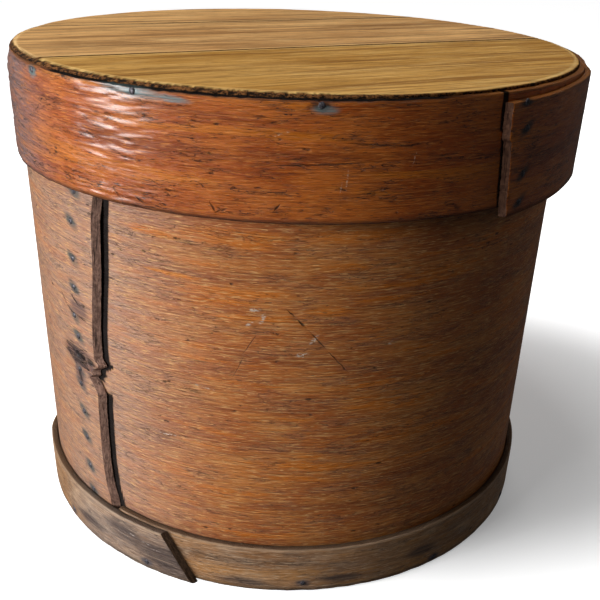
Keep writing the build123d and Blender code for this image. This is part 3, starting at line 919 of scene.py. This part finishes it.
def add_splinters(form, strip):
    """Slivers that the tear has lifted: rooted in the face, their tips standing a little free."""
    chance = np.random.default_rng(5)
    for _ in range(SPLINTER_COUNT):
        back, across = chance.uniform(-0.02, 0.0), chance.normal(0.0, 0.0036)
        lean = math.radians(SPLINTER_TILT + chance.normal(0.0, 14.0))
        line = math.radians(SPLINTER_TILT)
        run = back * math.cos(line) - across * math.sin(line)
        angle = SPLINTER_ANGLE + degrees_of(run, strip.radius)
        height = SPLINTER_HEIGHT + back * math.sin(line) + across * math.cos(line)
        length = SPLINTER_LENGTH * chance.uniform(0.35, 1.0)
        width = SPLINTER_WIDTH * chance.uniform(0.3, 1.0)
        lift = chance.uniform(0.0002, 0.0015)
        face = strip.outermost(angle) - 0.0014
        rows, places = [], []
        for share in np.linspace(0, 1, 5):
            half = width / 2 * (1 - share) ** 0.6 + 0.00012
            for side_on, out in ((-half, 0.0), (0.0, half * 1.3), (half, 0.0), (0.0, -half)):
                run = share * length * math.cos(lean) - side_on * math.sin(lean)
                up = share * length * math.sin(lean) + side_on * math.cos(lean)
                x, y = around(face + out + lift * share ** 1.5, angle + degrees_of(run, face))
                rows.append((float(x), float(y), height + up))
                places.append((strip.along(angle) + run, height + up, 0.5 + out * 100))
        points = np.array(rows).reshape(5, 4, 3)
        signs = np.zeros(points.shape)
        signs[..., 0] = 0.8 * (chance.random() > 0.8)
        signs[..., 1] = chance.uniform(0.3, 0.85) * (signs[0, 0, 0] == 0)
        signs[..., 2] = 1.0
        numbers = form.add(points, np.array(places).reshape(5, 4, 3), signs)
        form.quads(numbers[::-1], looped=True)
        form.close([tuple(numbers[0][::-1]), tuple(numbers[-1])])


def finish_band(form, strip, foot, node, tones, setting, stains, painted_light_spots=(), **marks):
    """Builds a strip in its own wood, whose marks are turned to places along it."""
    name = node.replace("base_", "")
    placed = {kind: on_strip(strip, foot, rows) for kind, rows in marks.items()}
    wood = bent_wood(f"{name}_finish", tones, *setting, on_strip(strip, foot, stains),
                     painted_light_spots=painted_light_spots, **placed)
    ends = end_wood(name.replace("_band", "") + "_end", tones)
    body = "lid" if strip is lid else "box"
    form.build(f"{node}_wood", body, f"{name}_wood", node, [wood, ends])


def make_bands():
    """The lid's band, the side band and the hoop."""
    form = band(lid, LID_FOOT, LID_HEIGHT, spaced((0.0, LID_HEIGHT, 0.00085)), 0.003,
                (0.0008, 0.0009), LID_END_SHARES, LID_LAP, LID_BEVEL, carve_lid, mark_lid, 11)
    stains = stained(lid_nails, 0.0, 7.0, 3.4) + stained(lid_tacks, 32.0, 8.4, 4.0)
    finish_band(form, lid, LID_FOOT, "lid_band", LID_TONES, (3.1, 0.28, 1.0, 0.9), stains,
                scratches=LID_SCRATCHES, cracks=LID_CRACKS, blooms=LID_BLOOMS)
    side_levels = spaced((0.0, 0.118, 0.005), (0.118, 0.156, 0.0016), (0.156, SIDE_TOP, 0.005))
    form = band(side, 0.0, SIDE_TOP, side_levels, PITCH, (0.0006, 0.0008), SIDE_END_SHARES,
                SIDE_LAP, SIDE_BEVEL, carve_side, mark_side, 13, SPRING)
    add_splinters(form, side)
    # the notch floor, painted paler as a pool of light
    painted_lit_notch_floor = (math.radians(NOTCH_FLOOR[0]) * SIDE_RADIUS, *NOTCH_FLOOR[1:])
    finish_band(form, side, 0.0, "side_band", SIDE_TONES, (7.7, 0.36, 0.5, 0.45),
                stained(side_tacks, -34.0, 9.4, 5.2), [painted_lit_notch_floor], scratches=SIDE_SCRATCHES,
                cracks=SIDE_CRACKS, blooms=SIDE_BLOOMS, golds=SIDE_GOLDS)
    form = band(hoop, 0.0, HOOP_TOP, spaced((0.0, HOOP_TOP, 0.0024)), PITCH, (0.0024, 0.0009),
                HOOP_END_SHARES, HOOP_SLANT, HOOP_BEVEL, carve_hoop, mark_hoop, 17)
    finish_band(form, hoop, 0.0, "base_hoop", HOOP_TONES, (12.3, 0.42, 0.4, 0.5),
                stained(base_nails, 0.0, 7.0, 4.4), scratches=HOOP_SCRATCHES, blooms=HOOP_BLOOMS)


def make_boards():
    """The three boards of the lid and the three of the bottom, front to back."""
    lid_woods = [
        board_wood("front_board_finish", FRONT_BOARD_TONES, 0.5),
        board_wood("middle_board_finish", BACK_BOARD_TONES, 0.54),
        board_wood("back_board_finish", BACK_BOARD_TONES, 0.54),
    ]
    base_woods = [board_wood("base_finish", BASE_TONES, 0.55)] * 3
    sets = (
        ("lid_board", "lid", "lid_board_wood", LID_RADIUS - FIT_GAP, SIDE_TOP, LID_TOP, LID_BOARDS,
         BOARD_ROUND, 26, carve_lid_board, mark_lid_board, lid_woods),
        ("bottom_board", "box", "bottom_wood", SIDE_RADIUS - FIT_GAP, 0.0, BASE_TOP, BASE_BOARDS,
         0.0005, 12, carve_base_board, mark_base_board, base_woods),
    )
    for name, body, slot, radius, foot, top, widths, arris, rings, carve, mark, woods in sets:
        low = -radius
        for number, (which, width) in enumerate(zip(("front", "middle", "back"), widths)):
            high = low + width * 2 * radius
            first = low + BOARD_GAP / 2 if number else low
            last = high - BOARD_GAP / 2 if number < 2 else radius
            form = board(radius, first, last, foot, top, arris, rings, carve, mark, number + 1)
            node = f"{name}_{which}"
            form.build(f"{node}_wood", body, slot, node, [woods[number]])
            low = high


def driven(places, strip, foot, carve, head, shank, path):
    """Tacks or nails with hammered heads, on the carved face of a strip.

    The path goes inwards: depth under the face, lift, share of the shank's half width."""
    form = Form()
    turn = np.linspace(0, 2 * math.pi, 12, endpoint=False)
    dome = ((0.3, 0.0005), (0.7, 0.0004), (0.95, 0.0001), (1.0, -0.0002), (0.5, -0.0008))
    for number, (angle, height) in enumerate(places):
        along, up = strip.spot(angle, height - foot)
        carved = carve(np.array([along]), np.array([up]), np.ones(1))[0]
        face = strip.outermost(angle) - float(carved[0])
        uneven = 1 + 0.14 * layered(1.3 * np.cos(turn) + 7 * number, 1.3 * np.sin(turn), 191)
        rows = [(share * head * uneven, 0.0, out) for share, out in dome]
        rows += [(np.full(turn.shape, share * shank / 2), lift, -deep)
                 for deep, lift, share in path]
        across = np.stack([row[0] * np.cos(turn) for row in rows])
        rise = np.stack([row[0] * np.sin(turn) + row[1] for row in rows])
        out = np.stack([np.full(turn.shape, row[2]) for row in rows])
        spin = math.radians(angle)
        tangent = np.array([math.cos(spin), math.sin(spin), 0.0])
        outward = np.array([math.sin(spin), -math.cos(spin), 0.0])
        points = face * outward + across[..., None] * tangent + out[..., None] * outward
        points = points + (height + rise)[..., None] * np.array([0.0, 0.0, 1.0])
        form.close_rings(points, np.stack([across + 0.01 * number, rise, out], -1))
    return form


def make_iron():
    """Clinched tacks down the two laps, and the nails into the boards."""
    metal = [iron("old_iron")]

    def clinched(thick):
        wall = 2 * thick + LAP_GAP
        bent = (wall + 0.0009, 0.0002, 1.0), (wall + 0.0008, TACK_CLINCH, 0.35)
        return TACK_HEAD, TACK_SHANK, ((0.001, 0.0, 1.0), (wall, 0.0, 1.0), *bent)

    nail = NAIL_HEAD, NAIL_SHANK, ((0.001, 0.0, 1.0), (NAIL_LENGTH, 0.0, 0.35))
    for name, body, places, strip, foot, carve, sizes in (
        ("side_seam_tacks", "box", side_tacks, side, 0.0, carve_side, clinched(SIDE_THICK)),
        ("lid_seam_tacks", "lid", lid_tacks, lid, LID_FOOT, carve_lid, clinched(LID_THICK)),
        ("bottom_nails", "box", base_nails, hoop, 0.0, carve_hoop, nail),
        ("lid_rim_nails", "lid", lid_nails, lid, LID_FOOT, carve_lid, nail),
    ):
        form = driven(places, strip, foot, carve, *sizes)
        form.build(f"{name}_iron", body, "iron", name, metal)


# Camera: place, the directions of its right, up and back, and the lens
CAMERA_PLACE = (0.0, -0.61352, 0.40755)
CAMERA_AXES = ((0.99947, -0.00103, 0.03258), (-0.02835, 0.46604, 0.88431),
               (-0.0161, -0.88476, 0.46576))
CAMERA_LENS, CAMERA_SENSOR = 50.96, 36.0
CAMERA_SHIFT = (-0.0035, 0.0849)


def make_camera():
    data = bpy.data.cameras.new("camera")
    data.lens, data.sensor_width, data.sensor_fit = CAMERA_LENS, CAMERA_SENSOR, "HORIZONTAL"
    data.shift_x, data.shift_y = CAMERA_SHIFT
    data.clip_start = 0.01
    camera = linked("camera", data)
    turn = Matrix(CAMERA_AXES).transposed().to_4x4()
    camera.matrix_world = Matrix.Translation(CAMERA_PLACE) @ turn
    bpy.context.scene.camera = camera


def make_lamp(name, angle, rise, distance, size, strength, glossy=False):
    """A soft lamp, wide and high, that lights the box at this share of full white."""
    data = bpy.data.lights.new(name, "AREA")
    data.shape = "RECTANGLE"
    data.size, data.size_y = size
    data.energy = strength * (math.pi * distance) ** 2
    lamp = linked(name, data)
    target = Vector((0.0, 0.0, LID_TOP / 2))
    x, y = around(distance * math.cos(math.radians(rise)), angle)
    lamp.location = target + Vector((float(x), float(y), distance * math.sin(math.radians(rise))))
    lamp.visible_glossy = glossy
    lamp.rotation_euler = (lamp.location - target).to_track_quat("Z", "Y").to_euler()


# Centre and reach of a painted shadow on the floor to the right of the box, where the floor's glow is
# weakest
SHADE_CENTRE, SHADE_REACH = (0.13, 0.06, 0.0), (0.26, 0.19, 1.0)
WHITE = (1.0, 1.0, 1.0, 1.0)


def make_room():
    """A pale floor that keeps the shadow and glows for the camera, least to the right of the box as a
    painted shadow there, and a world that the camera sees as white.
    """
    paint = Paint("floor_finish")
    spot = paint.add("NewGeometry", {}).outputs["Position"]
    sheen = paint.noise(spot, (0.3, 0.3, 0.3))
    colour = paint.blend(sheen, tuned(228, 228, 228), tuned(234, 234, 234))
    matt = paint.add("BsdfDiffuse", {"Color": colour})
    away = paint.away(spot, SHADE_CENTRE, SHADE_REACH)
    # painted light on the floor for the camera, weakest round the painted shadow's centre
    painted_floor_light = paint.add("Emission", {"Color": WHITE, "Strength": paint.step(away, 0.8, 1.6, 0.23, 0.95)})
    seen = paint.add("AddShader", {0: matt.outputs[0], 1: painted_floor_light.outputs[0]})
    by_camera = paint.add("LightPath", {}).outputs["Is Camera Ray"]
    dim = paint.add("BsdfDiffuse", {"Color": tuned(88, 88, 88)})
    both = paint.add("MixShader", {0: by_camera, 1: dim.outputs[0], 2: seen.outputs[0]})
    paint.add("OutputMaterial", {"Surface": both.outputs[0]})
    mesh = bpy.data.meshes.new("floor")
    half = 6.0
    mesh.from_pydata([(-half, -half, 0), (half, -half, 0), (half, half, 0), (-half, half, 0)], [],
                     [(0, 1, 2, 3)])
    mesh.materials.append(paint.material)
    floor = linked("floor", mesh)
    floor.location.z = -0.0002
    floor.visible_glossy = False
    sky = Paint("world", store=bpy.data.worlds)
    by_camera = sky.add("LightPath", {}).outputs["Is Camera Ray"]
    level = sky.add("MapRange", {"Value": by_camera, "To Min": 0.03}).outputs[0]
    back = sky.add("Background", {"Color": WHITE, "Strength": level})
    sky.add("OutputWorld", {"Surface": back.outputs[0]})
    bpy.context.scene.world = sky.material


bpy.context.scene.view_settings.view_transform = "Standard"
make_camera()
make_bands()
make_boards()
make_iron()
make_lamp("window", -66.0, 9.0, 1.7, (0.6, 0.62), 0.79, glossy=True)
make_lamp("key", -48.0, 20.0, 1.7, (0.6, 0.6), 0.37)
make_lamp("top", -80.0, 72.0, 1.9, (0.9, 0.9), 0.59)
make_lamp("fill", 110.0, 12.0, 2.0, (1.0, 1.0), 0.09)
make_lamp("back", 165.0, 14.0, 2.2, (1.2, 1.2), 0.3)
make_room()
